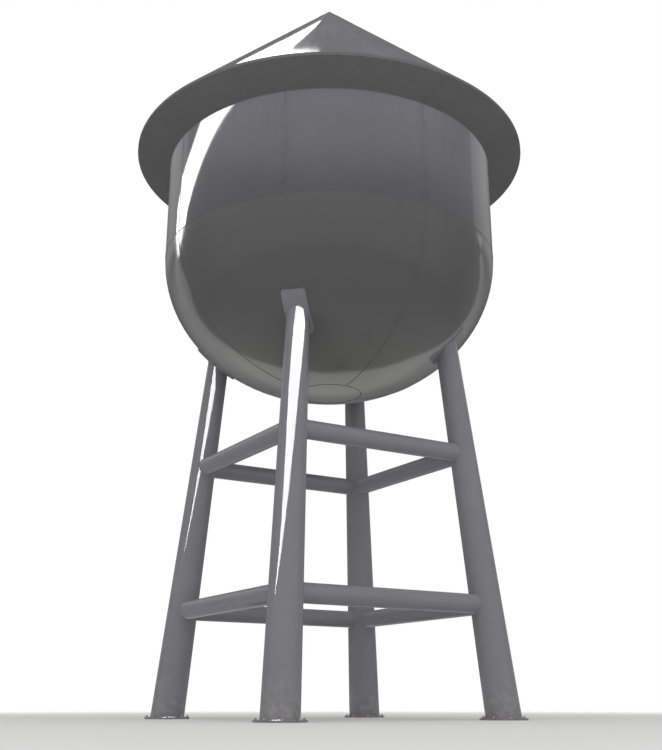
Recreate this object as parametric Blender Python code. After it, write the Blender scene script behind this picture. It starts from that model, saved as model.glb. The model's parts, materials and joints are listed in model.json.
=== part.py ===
"""Elevated water tank under a pointed roof, on four leaning tubular legs.

Metres, +Z up. The origin is on the ground, in the middle of the four feet.
The feet are the corners of a square whose sides run along X and Y, and the front is -Y.
The tank is a shell of curved steel plates: a straight wall, a dished bottom, a conical roof
that overhangs the wall, and an eave that closes the overhang from below.
"""
from math import acos, cos, hypot, radians, sin, sqrt, tau

import bmesh
import bpy
from mathutils import Matrix, Vector

# Tank
TANK_RADIUS = 3.20
KNUCKLE_HEIGHT = 8.42
BOWL_DEPTH = 2.63
CROWN_RADIUS = 0.60
PLATE = 0.012

# Roof
RIM_RADIUS = 3.85
RIM_BOTTOM = 10.62
RIM_TOP = 10.675
APEX_HEIGHT = 14.51
SOFFIT_HEIGHT = 10.405
CAP_RADIUS = 0.30

# Legs, struts and feet
FOOT_RADIUS = 2.97
LEG_LEAN = 0.109
LEG_FOOT_DIAMETER = 0.60
LEG_HEAD_DIAMETER = 0.40
STRUT_DIAMETER = 0.32
LOWER_RING_HEIGHT = 1.87
UPPER_RING_HEIGHT = 4.53
FOOT_PLATE_DIAMETER = 0.80
FOOT_PLATE_THICKNESS = 0.03

# Saddles between the leg heads and the bowl
SADDLE_THICKNESS = 0.030
SADDLE_WIDTH = 0.42
SADDLE_INNER = 1.97
SADDLE_OUTER = 2.61
SADDLE_STEPS_ALONG = 8
SADDLE_STEPS_ACROSS = 7

# Pieces that touch keep this gap, and curved ones a little more than their facets dip
GAP = 0.0003
SADDLE_GAP = 0.0008

# How finely round shapes are faceted
STEPS_AROUND = 72
BOWL_STEPS = 9
CROWN_STEPS = 2
LEG_SIDES = 24
STRUT_SIDES = 20
FOOT_PLATE_SIDES = 32

# How the round shells are divided into plates
WALL_PLATES = 8
QUARTERS = 4

# Legs go up to here before their heads are cut to the saddles
LEG_UNCUT_HEIGHT = 7.10
LEG_HEAD_HEIGHT = 6.75

# The cutter that shapes a leg head reaches this far into the bowl and this many steps past the saddle
CUTTER_DEPTH = 1.0
CUTTER_EXTRA_STEPS = 3

ROOF_SLOPE = (APEX_HEIGHT - RIM_TOP) / RIM_RADIUS
ROOF_PLATE_DROP = PLATE * sqrt(1 + ROOF_SLOPE ** 2)
CROWN_ANGLE = acos(CROWN_RADIUS / TANK_RADIUS)

# The corners of the square of feet, each with the direction it lies in
CORNERS = {
    "front_left": radians(-135),
    "front_right": radians(-45),
    "back_right": radians(45),
    "back_left": radians(135),
}
SIDES = {
    "front": ("front_left", "front_right"),
    "right": ("front_right", "back_right"),
    "back": ("back_right", "back_left"),
    "left": ("back_left", "front_left"),
}

# Paint colours, in linear light
GREY_PAINT = (0.172, 0.168, 0.188)
DARK_PAINT = (0.087, 0.087, 0.085)


def clear_scene():
    for item in list(bpy.data.objects):
        bpy.data.objects.remove(item, do_unlink=True)


def paint(name, colour, roughness):
    material = bpy.data.materials.new(name)
    material.use_nodes = True
    shader = material.node_tree.nodes["Principled BSDF"]
    shader.inputs["Base Color"].default_value = (*colour, 1.0)
    shader.inputs["Roughness"].default_value = roughness
    shader.inputs["Metallic"].default_value = 0.0
    return material


def place(name, bm, material, sharp_angle=30):
    """Turn a closed bmesh into a named object with its faces pointing out."""
    bmesh.ops.recalc_face_normals(bm, faces=bm.faces)
    mesh = bpy.data.meshes.new(name)
    bm.to_mesh(mesh)
    bm.free()
    mesh.shade_smooth()
    mesh.set_sharp_from_angle(angle=radians(sharp_angle))
    mesh.materials.append(material)
    item = bpy.data.objects.new(name, mesh)
    bpy.context.scene.collection.objects.link(item)
    return item


def cut(item, cutter):
    """Take the cutter's shape out of an object, and keep the cutter as a hidden guide."""
    cutter.hide_render = True
    cutter.display_type = "WIRE"
    boolean = item.modifiers.new("cut by " + cutter.name, "BOOLEAN")
    boolean.operation = "DIFFERENCE"
    boolean.solver = "EXACT"
    boolean.object = cutter


def roof_height(radius):
    """Height of the roof's outer face at a distance from the axis."""
    return APEX_HEIGHT - ROOF_SLOPE * radius


def roof_underside(radius):
    return roof_height(radius) - ROOF_PLATE_DROP


def bowl_height(radius, inset=0.0):
    """Height of the bowl's outer face, or of its inner face with the plate's thickness as inset."""
    return KNUCKLE_HEIGHT - (BOWL_DEPTH - inset) * sqrt(1 - (radius / (TANK_RADIUS - inset)) ** 2)


def turned_plate(name, outline, start, end, steps, material):
    """Sweep a closed (radius, height) outline about the axis, with half a gap left at each end."""
    bm = bmesh.new()
    columns = []
    for step in range(steps + 1):
        column = []
        for radius, height in outline:
            inset = GAP / 2 / radius
            angle = start + inset + (end - start - 2 * inset) * step / steps
            column.append(bm.verts.new((radius * cos(angle), radius * sin(angle), height)))
        columns.append(column)
    count = len(outline)
    for left, right in zip(columns, columns[1:]):
        for index in range(count):
            after = (index + 1) % count
            bm.faces.new((left[index], left[after], right[after], right[index]))
    bm.faces.new(columns[0])
    bm.faces.new(columns[-1])
    return place(name, bm, material)


def turned_disc(name, upper, lower, material):
    """Close a dished disc between two (radius, height) lines that both start on the axis."""
    bm = bmesh.new()
    rims = []
    for line in (upper, lower):
        centre = bm.verts.new((0, 0, line[0][1]))
        previous = None
        for radius, height in line[1:]:
            ring = []
            for step in range(STEPS_AROUND):
                angle = tau * step / STEPS_AROUND
                ring.append(bm.verts.new((radius * cos(angle), radius * sin(angle), height)))
            for step in range(STEPS_AROUND):
                after = (step + 1) % STEPS_AROUND
                if previous is None:
                    bm.faces.new((centre, ring[step], ring[after]))
                else:
                    bm.faces.new((previous[step], ring[step], ring[after], previous[after]))
            previous = ring
        rims.append(previous)
    for step in range(STEPS_AROUND):
        after = (step + 1) % STEPS_AROUND
        bm.faces.new((rims[0][step], rims[1][step], rims[1][after], rims[0][after]))
    return place(name, bm, material)


def bowl_section(inset):
    """Points down the bowl's section, from just under the knuckle to the edge of the crown plate."""
    points = [(TANK_RADIUS - inset, KNUCKLE_HEIGHT - GAP / 2)]
    for step in range(1, BOWL_STEPS):
        radius = (TANK_RADIUS - inset) * cos(CROWN_ANGLE * step / BOWL_STEPS)
        points.append((radius, bowl_height(radius, inset)))
    points.append((CROWN_RADIUS, bowl_height(CROWN_RADIUS, inset)))
    return points


def make_wall(material):
    """Eight curved plates, which stand on the bowl and carry the roof."""
    inside = TANK_RADIUS - PLATE
    bottom = KNUCKLE_HEIGHT + GAP / 2
    outline = [
        (TANK_RADIUS, bottom),
        (TANK_RADIUS, roof_underside(TANK_RADIUS) - GAP),
        (inside, roof_underside(inside) - GAP),
        (inside, bottom),
    ]
    span = tau / WALL_PLATES
    for index in range(WALL_PLATES):
        name = f"tank_wall_{index + 1}"
        turned_plate(name, outline, span * index, span * (index + 1), STEPS_AROUND // WALL_PLATES, material)


def make_bowl(material):
    """Four dished plates round a crown plate at the lowest point."""
    outline = bowl_section(0) + bowl_section(PLATE)[::-1]
    span = tau / QUARTERS
    for index in range(QUARTERS):
        name = f"bowl_panel_{index + 1}"
        turned_plate(name, outline, span * index, span * (index + 1), STEPS_AROUND // QUARTERS, material)

    edge = CROWN_RADIUS - GAP
    radii = [edge * step / CROWN_STEPS for step in range(CROWN_STEPS + 1)]
    upper = [(radius, bowl_height(radius, PLATE)) for radius in radii]
    lower = [(radius, bowl_height(radius)) for radius in radii]
    turned_disc("bowl_crown", upper, lower, material)


def make_roof(material):
    """Four conical plates that lean together under a pointed cap."""
    outline = [
        (RIM_RADIUS, RIM_TOP),
        (CAP_RADIUS, roof_height(CAP_RADIUS)),
        (CAP_RADIUS, roof_underside(CAP_RADIUS)),
        (RIM_RADIUS, roof_underside(RIM_RADIUS)),
    ]
    span = tau / QUARTERS
    for index in range(QUARTERS):
        name = f"roof_panel_{index + 1}"
        turned_plate(name, outline, span * index, span * (index + 1), STEPS_AROUND // QUARTERS, material)

    edge = CAP_RADIUS - GAP
    upper = [(0, APEX_HEIGHT), (edge, roof_height(edge))]
    lower = [(0, roof_underside(0)), (edge, roof_underside(edge))]
    turned_disc("roof_cap", upper, lower, material)


def make_eave(material):
    """Four plates, each a soffit from the wall out to the rim and a short fascia under the roof's edge."""
    fascia_inside = RIM_RADIUS - PLATE
    wall_face = TANK_RADIUS + GAP
    slope = (RIM_BOTTOM - SOFFIT_HEIGHT) / (RIM_RADIUS - wall_face)
    soffit_top = SOFFIT_HEIGHT + PLATE * sqrt(1 + slope ** 2)
    outline = [
        (RIM_RADIUS, RIM_BOTTOM),
        (RIM_RADIUS, roof_underside(RIM_RADIUS) - GAP),
        (fascia_inside, roof_underside(fascia_inside) - GAP),
        (fascia_inside, soffit_top + slope * (fascia_inside - wall_face)),
        (wall_face, soffit_top),
        (wall_face, SOFFIT_HEIGHT),
    ]
    span = tau / QUARTERS
    for index in range(QUARTERS):
        name = f"eave_{index + 1}"
        turned_plate(name, outline, span * index, span * (index + 1), STEPS_AROUND // QUARTERS, material)


def saddle_point(along, across, offset):
    """A point off the bowl's outer face; along runs out over the leg, across runs beside it."""
    radius = hypot(along, across)
    drop = KNUCKLE_HEIGHT - bowl_height(radius)
    normal = Vector((along / TANK_RADIUS ** 2, across / TANK_RADIUS ** 2, -drop / BOWL_DEPTH ** 2))
    return Vector((along, across, bowl_height(radius))) + normal.normalized() * offset


def curved_block(extra_steps, near_offset, far_offset):
    """A block that follows the bowl, as long and wide as a saddle plus a number of extra steps."""
    along_step = (SADDLE_OUTER - SADDLE_INNER) / SADDLE_STEPS_ALONG
    across_step = SADDLE_WIDTH / SADDLE_STEPS_ACROSS
    rows = range(-extra_steps, SADDLE_STEPS_ALONG + extra_steps + 1)
    lanes = range(-extra_steps, SADDLE_STEPS_ACROSS + extra_steps + 1)
    bm = bmesh.new()
    layers = []
    for offset in (near_offset, far_offset):
        layer = []
        for row in rows:
            along = SADDLE_INNER + row * along_step
            points = [saddle_point(along, lane * across_step - SADDLE_WIDTH / 2, offset) for lane in lanes]
            layer.append([bm.verts.new(point) for point in points])
        layers.append(layer)
        for lower, upper in zip(layer, layer[1:]):
            for lane in range(len(lanes) - 1):
                bm.faces.new((lower[lane], lower[lane + 1], upper[lane + 1], upper[lane]))
    first, second = layers
    borders = [
        (first[0], second[0]),
        (first[-1], second[-1]),
        ([line[0] for line in first], [line[0] for line in second]),
        ([line[-1] for line in first], [line[-1] for line in second]),
    ]
    for near, far in borders:
        for index in range(len(near) - 1):
            bm.faces.new((near[index], near[index + 1], far[index + 1], far[index]))
    return bm


def leg_centre(direction, height):
    """The middle of a leg at a height, which leans towards the tower's axis as it goes up."""
    radius = FOOT_RADIUS - LEG_LEAN * height
    return Vector((radius * cos(direction), radius * sin(direction), height))


def leg_radius(height):
    taper = (LEG_FOOT_DIAMETER - LEG_HEAD_DIAMETER) / LEG_HEAD_HEIGHT
    return (LEG_FOOT_DIAMETER - taper * height) / 2


def leg_shape(direction, bottom, top, growth):
    """A tapered round post between two level cuts, made fatter by the growth."""
    bm = bmesh.new()
    rings = []
    for height in (bottom, top):
        centre = leg_centre(direction, height)
        radius = leg_radius(height) + growth
        ring = []
        for side in range(LEG_SIDES):
            angle = direction + tau * side / LEG_SIDES
            ring.append(bm.verts.new(centre + Vector((radius * cos(angle), radius * sin(angle), 0))))
        rings.append(ring)
    caps = [bm.faces.new(ring) for ring in rings]
    bmesh.ops.bridge_loops(bm, edges=[edge for cap in caps for edge in cap.edges])
    return bm


def make_leg(corner, direction, leg_paint):
    """A foot plate, a leg cut to fit under the bowl, and the saddle between them."""
    foot = leg_centre(direction, 0)
    plate = bmesh.new()
    bmesh.ops.create_cone(
        plate,
        cap_ends=True,
        segments=FOOT_PLATE_SIDES,
        radius1=FOOT_PLATE_DIAMETER / 2,
        radius2=FOOT_PLATE_DIAMETER / 2,
        depth=FOOT_PLATE_THICKNESS,
        matrix=Matrix.Translation((foot.x, foot.y, FOOT_PLATE_THICKNESS / 2)),
    )
    place("foot_plate_" + corner, plate, leg_paint)

    turn = Matrix.Rotation(direction, 4, "Z")
    saddle = curved_block(0, SADDLE_GAP, SADDLE_GAP + SADDLE_THICKNESS)
    saddle.transform(turn)
    place("saddle_" + corner, saddle, leg_paint)

    leg = place("leg_" + corner, leg_shape(direction, FOOT_PLATE_THICKNESS + GAP, LEG_UNCUT_HEIGHT, 0), leg_paint)
    room = curved_block(CUTTER_EXTRA_STEPS, SADDLE_GAP + SADDLE_THICKNESS + GAP, -CUTTER_DEPTH)
    room.transform(turn)
    cut(leg, place("room_over_leg_" + corner, room, leg_paint))


def make_strut(name, height, corners, leg_guides, strut_paint):
    """A level round strut between two legs, its ends shaped to the legs' round faces."""
    start = leg_centre(CORNERS[corners[0]], height)
    end = leg_centre(CORNERS[corners[1]], height)
    run = end - start
    strut = bmesh.new()
    bmesh.ops.create_cone(
        strut,
        cap_ends=True,
        segments=STRUT_SIDES,
        radius1=STRUT_DIAMETER / 2,
        radius2=STRUT_DIAMETER / 2,
        depth=run.length,
        matrix=Matrix.Translation((start + end) / 2) @ run.to_track_quat("Z", "Y").to_matrix().to_4x4(),
    )
    item = place(name, strut, strut_paint)
    for corner in corners:
        cut(item, leg_guides[corner])


def make_frame(material):
    """The four legs with their feet and saddles, and two rings of four struts."""
    guides = {}
    for corner, direction in CORNERS.items():
        make_leg(corner, direction, material)
        guide = leg_shape(direction, 0, LEG_UNCUT_HEIGHT, GAP)
        guides[corner] = place("room_in_struts_" + corner, guide, material)
    for ring, height in (("lower", LOWER_RING_HEIGHT), ("upper", UPPER_RING_HEIGHT)):
        for side, corners in SIDES.items():
            make_strut(f"{ring}_strut_{side}", height, corners, guides, material)


def main():
    clear_scene()
    make_wall(paint("tank wall paint", GREY_PAINT, 0.38))
    make_bowl(paint("bowl paint", GREY_PAINT, 0.38))
    make_roof(paint("roof paint", GREY_PAINT, 0.42))
    make_eave(paint("eave paint", DARK_PAINT, 0.50))
    make_frame(paint("frame paint", GREY_PAINT, 0.38))


main()
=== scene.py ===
"""Finish of an elevated steel water tank: fine painted plates, tubes, welds and bolts, and a studio stage.

The file is laid out as an add-on and is run as a script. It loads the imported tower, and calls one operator
for each group of pieces. Metres and +Z up.
"""

import json
from math import cos, hypot, pi, radians, sin, sqrt, tau

import bmesh
import bpy
from bpy.props import FloatProperty, FloatVectorProperty, IntProperty, PointerProperty
from bpy.types import NodeSocket, Operator, Panel, PropertyGroup
from mathutils import Matrix, Vector, noise

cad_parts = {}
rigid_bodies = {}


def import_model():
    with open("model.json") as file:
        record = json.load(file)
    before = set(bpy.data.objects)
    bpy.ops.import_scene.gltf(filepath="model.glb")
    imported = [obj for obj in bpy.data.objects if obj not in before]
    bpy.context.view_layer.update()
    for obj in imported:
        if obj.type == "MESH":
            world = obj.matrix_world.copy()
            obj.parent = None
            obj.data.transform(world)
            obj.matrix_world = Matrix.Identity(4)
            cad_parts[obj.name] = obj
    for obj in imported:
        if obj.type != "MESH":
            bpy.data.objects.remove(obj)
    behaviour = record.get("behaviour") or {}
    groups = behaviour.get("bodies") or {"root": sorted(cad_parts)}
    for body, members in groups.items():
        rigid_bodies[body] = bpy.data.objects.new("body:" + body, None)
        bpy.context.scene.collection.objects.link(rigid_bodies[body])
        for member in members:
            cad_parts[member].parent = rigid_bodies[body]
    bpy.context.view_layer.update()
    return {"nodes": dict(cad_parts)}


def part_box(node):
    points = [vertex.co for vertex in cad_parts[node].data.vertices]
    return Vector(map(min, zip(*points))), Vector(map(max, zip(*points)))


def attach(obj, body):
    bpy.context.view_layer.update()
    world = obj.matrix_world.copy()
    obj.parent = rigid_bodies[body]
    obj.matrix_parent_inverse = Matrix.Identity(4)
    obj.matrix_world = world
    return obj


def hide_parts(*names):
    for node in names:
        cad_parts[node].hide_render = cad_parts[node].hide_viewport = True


bl_info = {
    "name": "Water Tower Finish",
    "version": (1, 0, 0),
    "blender": (4, 5, 0),
    "location": "3D View > Sidebar > Water Tower",
    "description": "Painted plates, tubes, welds and bolts of an elevated water tank, with its stage",
    "category": "Add Mesh",
}

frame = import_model()

CORNERS = ("front_left", "front_right", "back_right", "back_left")
SIDES = {
    "front": ("front_left", "front_right"),
    "right": ("front_right", "back_right"),
    "back": ("back_right", "back_left"),
    "left": ("back_left", "front_left"),
}
WALL_PLATES = 8
QUARTERS = 4

# Half of the groove between two plates, and the gap under a piece that rests on another
GROOVE = 0.0015
GAP = 0.0003

# How finely the round pieces are made
WALL_STEPS = 24
QUARTER_STEPS = 48
WALL_COURSES = 14
BOWL_COURSES = 30
ROOF_COURSES = 20
TURN_STEPS = 96
LEG_SIDES = 72
LEG_COURSES = 26
STRUT_SIDES = 56
STRUT_COURSES = 12
WELD_SIDES = 8
WELD_STEP = 0.03
SADDLE_CORNER_STEPS = 10
SADDLE_SIDE_STEPS = 10
HALVINGS = 30

# Rounded edges of the thin plates, the fascia and the thick plates
PLATE_EDGE = 0.002
FASCIA_EDGE = 0.003
THICK_EDGE = 0.004

# Height of the flat welds between plates and under the eave, and width and height of the fillet welds
SEAM_HEIGHT = 0.005
EAVE_WELD_HEIGHT = 0.008
LEG_WELD = (0.022, 0.011)
SADDLE_WELD = (0.026, 0.010)
STRUT_WELD = (0.024, 0.010)

# Worn and soiled colours
GRIME = (0.050, 0.047, 0.043)
DUST = (0.300, 0.290, 0.270)
PRIMER = (0.260, 0.245, 0.235)
RUST = (0.160, 0.060, 0.025)

# Directions of light are an azimuth from the camera's side, to its right, and an elevation, in degrees.
# The studio: a strength from every side, and panels with azimuth limits on both sides of the camera,
# elevation limits and a strength. Each pair of limits has a soft edge for each end.
ALL_ROUND = 0.5
PANELS = {
    "front low": ((-1.0, 0.5, 85.0, 20.0), (-22.0, 6.0, 26.0, 4.0), 0.8),
    "front softbox": ((-1.0, 0.5, 85.0, 20.0), (31.0, 2.2, 62.0, 8.0), 1.3),
    "overhead": ((-1.0, 0.5, 181.0, 0.5), (66.0, 6.0, 91.0, 0.5), 1.4),
    "side panels": ((119.0, 2.0, 150.0, 28.0), (20.0, 3.0, 37.0, 3.0), 0.45),
    "dark behind": ((150.0, 15.0, 181.0, 0.5), (-30.0, 5.0, 45.0, 15.0), -0.35),
}

# The tank's enamel mirrors the studio alone: pieces whose names start like this keep out of reflections
UNMIRRORED = ("roof_plate", "roof_welds", "cap_", "eave_", "ring_", "strut_", "front_", "back_")

# How finely the sheets of light are made, between two rows and along a row
SHEET_STEPS_UP = 4
SHEET_STEPS_ACROSS = 24

# Sheets of light, each on its own pieces alone. A row is a height in metres with a left and a right azimuth.
SHEETS = {
    "wall_glint": {
        "pieces": ("wall_plate", "bowl_plate"),
        "distance": 60.0,
        "strength": 40.0,
        "rows": (
            (23.0, -120.0, -119.0),
            (26.0, -121.0, -116.5),
            (32.0, -124.0, -115.0),
            (37.0, -128.5, -115.0),
            (39.0, -128.5, -112.0),
            (41.0, -126.0, -105.0),
            (43.0, -118.5, -97.0),
            (45.0, -108.5, -87.5),
            (47.0, -100.0, -76.0),
            (48.2, -70.0, -67.0),
        ),
    },
    "roof_glint": {
        "pieces": ("roof_plate", "cap_plate"),
        "distance": 60.0,
        "strength": 14.0,
        "rows": (
            (72.0, 193.1, 193.4),
            (76.0, 190.5, 193.1),
            (80.0, 188.3, 192.5),
            (84.0, 186.0, 191.5),
            (88.7, 183.4, 189.9),
            (89.7, 186.7, 189.5),
            (90.2, 187.9, 189.3),
            (92.0, 187.1, 188.4),
            (93.5, 186.1, 187.5),
            (95.6, 184.1, 185.0),
            (97.0, 182.0, 182.6),
        ),
    },
    "leg_glint": {
        "pieces": ("front_left_leg", "back_left_leg"),
        "distance": 12.0,
        "strength": 45.0,
        "rows": (
            (4.8, -60.0, -57.0),
            (6.0, -48.0, -36.0),
            (7.0, -43.0, -20.0),
            (8.0, -42.0, -6.0),
            (9.5, -43.0, 14.0),
            (11.0, -44.0, 36.0),
            (12.5, -35.0, 70.0),
            (14.2, -12.0, 110.0),
        ),
    },
    "bowl_glow": {
        "pieces": ("bowl_plate", "crown_plate"),
        "distance": 3.5,
        "strength": 1.8,
        "rows": (
            (0.8, 165.0, 195.0),
            (1.4, 152.0, 209.0),
            (3.1, 128.0, 235.0),
            (4.2, 115.0, 246.0),
            (5.8, 103.0, 264.0),
            (6.6, 95.0, 275.0),
            (7.2, 87.0, 286.0),
            (8.1, 69.0, 300.0),
            (8.6, 66.0, 302.0),
        ),
    },
}

# The bowl's glow fades upwards from its lower edge. The edge is level behind the tower and climbs towards
# the sides from this azimuth, in metres a degree. The shares are what is left of the strength at the top
# of the glow and at the ends of its edge.
GLOW_AZIMUTH = 153.0
GLOW_CLIMB = 0.09
GLOW_BOTTOM = 0.8
GLOW_TOP = 8.3
GLOW_TOP_SHARE = 0.0
GLOW_SIDE_SHARE = 0.45


def low(node):
    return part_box(node)[0]


def high(node):
    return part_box(node)[1]


def middle(node):
    return (low(node) + high(node)) / 2


def length(name, default, description, precision=3):
    """A size in metres that a user may change."""
    return FloatProperty(
        name=name, description=description, default=default, min=0.0, unit="LENGTH", precision=precision
    )


def colour(name, default, description):
    return FloatVectorProperty(
        name=name, description=description, default=default, size=3, min=0.0, max=1.0, subtype="COLOR"
    )


def factor(name, default, description):
    return FloatProperty(
        name=name, description=description, default=default, min=0.0, max=1.0, subtype="FACTOR"
    )


def angle(name, default, description):
    return FloatProperty(name=name, description=description, default=radians(default), subtype="ANGLE")


class TankSettings(PropertyGroup):
    radius: length("Radius", high("tank_wall_1").x, "Outer radius of the straight wall")
    knuckle: length("Knuckle height", low("tank_wall_1").z, "Height where the wall meets the bowl")
    depth: length("Bowl depth", low("tank_wall_1").z - low("bowl_crown").z, "Depth of the dished bottom")
    crown: length("Crown radius", high("bowl_crown").x, "Radius of the plate at the bowl's lowest point")
    plate: length("Plate", 0.012, "Thickness of the tank's plates")
    bead: length("Weld width", 0.020, "Width of the weld beads along the plates' joints")
    paint: colour("Tank paint", (0.160, 0.156, 0.176), "Colour of the enamel on the wall")
    # The low colour and the two fade heights paint shade into the enamel, darkening it from the wall down to the bowl.
    painted_shade_colour: colour("Low tank paint", (0.092, 0.091, 0.094), "Colour that the enamel weathers to on the bowl")
    fade_top: length("Fade top", 10.1, "Height where the wall's enamel starts to darken")
    fade_bottom: length("Fade bottom", 8.1, "Height where it has darkened all through")
    gloss: factor("Tank roughness", 0.34, "Roughness of the enamel under its clear coat")


class RoofSettings(PropertyGroup):
    rim_radius: length("Rim radius", high("roof_panel_1").x, "Radius of the roof's outer edge")
    rim_top: length("Rim top", 10.675, "Height of the roof's upper face at its edge")
    rim_bottom: length("Rim bottom", 10.62, "Height of the lower edge of the fascia")
    soffit: length("Soffit height", low("eave_1").z, "Height where the soffit meets the wall")
    apex: length("Apex height", high("roof_cap").z, "Height of the roof's point")
    cap: length("Cap radius", high("roof_cap").x, "Radius of the pointed cap")
    paint: colour("Roof paint", (0.136, 0.133, 0.146), "Colour of the roof's enamel")
    eave_paint: colour("Eave paint", (0.150, 0.150, 0.150), "Colour of the soffit and fascia")
    gloss: factor("Roof roughness", 0.40, "Roughness of the roof's enamel under its clear coat")


class FrameSettings(PropertyGroup):
    foot_radius: length("Foot radius", middle("foot_plate_back_right").xy.length, "From the axis to a foot")
    lean: FloatProperty(
        name="Lean", description="How far a leg comes in for each metre that it rises", default=0.109
    )
    foot_diameter: length("Leg foot diameter", 0.60, "Diameter of a leg at the ground")
    head_diameter: length("Leg head diameter", 0.40, "Diameter of a leg at its head")
    head_height: length("Head height", 6.75, "Height where a leg has its head diameter")
    strut_diameter: length(
        "Strut diameter", high("lower_strut_front").z - low("lower_strut_front").z, "Diameter of the struts"
    )
    lower_ring: length("Lower ring", middle("lower_strut_front").z, "Height of the lower ring of struts")
    upper_ring: length("Upper ring", middle("upper_strut_front").z, "Height of the upper ring of struts")
    plate_diameter: length("Foot plate diameter", 0.80, "Diameter of a foot plate")
    plate_thickness: length("Foot plate thickness", high("foot_plate_back_right").z, "Of a foot plate")
    saddle_inner: length("Saddle inner end", 1.97, "From the axis to a saddle's inner end")
    saddle_outer: length("Saddle outer end", 2.61, "From the axis to a saddle's outer end")
    saddle_width: length("Saddle width", 0.42, "Width of a saddle")
    saddle_thickness: length("Saddle thickness", 0.030, "Thickness of a saddle")
    saddle_corner: length("Saddle corner", 0.05, "Radius of a saddle's corners")
    bolts: IntProperty(name="Anchor bolts", description="Bolts in each foot plate", default=8, min=3, max=16)
    bolt_diameter: length("Bolt diameter", 0.024, "Diameter of an anchor bolt")
    paint: colour("Frame paint", (0.188, 0.184, 0.203), "Colour of the legs, struts, saddles and feet")
    gloss: factor("Frame roughness", 0.34, "Roughness of the frame's enamel under its clear coat")


class StageSettings(PropertyGroup):
    lens: FloatProperty(name="Lens", description="Focal length in millimetres", default=48.0)
    distance: length("Camera distance", 18.127, "From the tower's axis to the camera")
    aside: length("Camera aside", 0.035, "How far the camera stands to its right")
    height: length("Camera height", 0.25, "Height of the camera over the floor")
    turn: angle("Camera turn", -31.37, "Turn of the camera about the tower's axis")
    tilt: angle("Camera tilt", 18.22, "How far the camera looks up")
    floor: colour("Floor", (0.80, 0.80, 0.79), "Colour of the plain floor")
    floor_radius: length("Floor radius", 40.0, "Radius of the floor")
    backdrop: colour("Backdrop", (1.0, 1.0, 1.0), "Colour behind the tower")


class TowerSettings(PropertyGroup):
    tank: PointerProperty(type=TankSettings)
    roof: PointerProperty(type=RoofSettings)
    frame: PointerProperty(type=FrameSettings)
    stage: PointerProperty(type=StageSettings)


def put(tree, kind, inputs=None, **settings):
    """Add a node. An input given as a socket is linked, and any other value is set."""
    node = tree.nodes.new(kind)
    for name, value in settings.items():
        setattr(node, name, value)
    for name, value in (inputs or {}).items():
        if isinstance(value, NodeSocket):
            tree.links.new(value, node.inputs[name])
        else:
            node.inputs[name].default_value = value
    return node


def reckon(tree, operation, first, second=0.0, third=0.0):
    return put(tree, "ShaderNodeMath", {0: first, 1: second, 2: third}, operation=operation).outputs[0]


def ramp(tree, value, start, end, first=0.0, last=1.0):
    """Go smoothly from the first to the last number while a value goes from start to end."""
    inputs = {"Value": value, "From Min": start, "From Max": end, "To Min": first, "To Max": last}
    return put(tree, "ShaderNodeMapRange", inputs, interpolation_type="SMOOTHSTEP").outputs[0]


def blend(tree, share, first, second):
    """Mix two colours by a share."""
    inputs = {0: share, 6: first, 7: second}
    return put(tree, "ShaderNodeMix", inputs, data_type="RGBA", clamp_factor=True).outputs[2]


def shade(paint, amount):
    """A colour made lighter or darker, with its alpha."""
    return (*(min(1.0, part * amount) for part in paint), 1.0)


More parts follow.
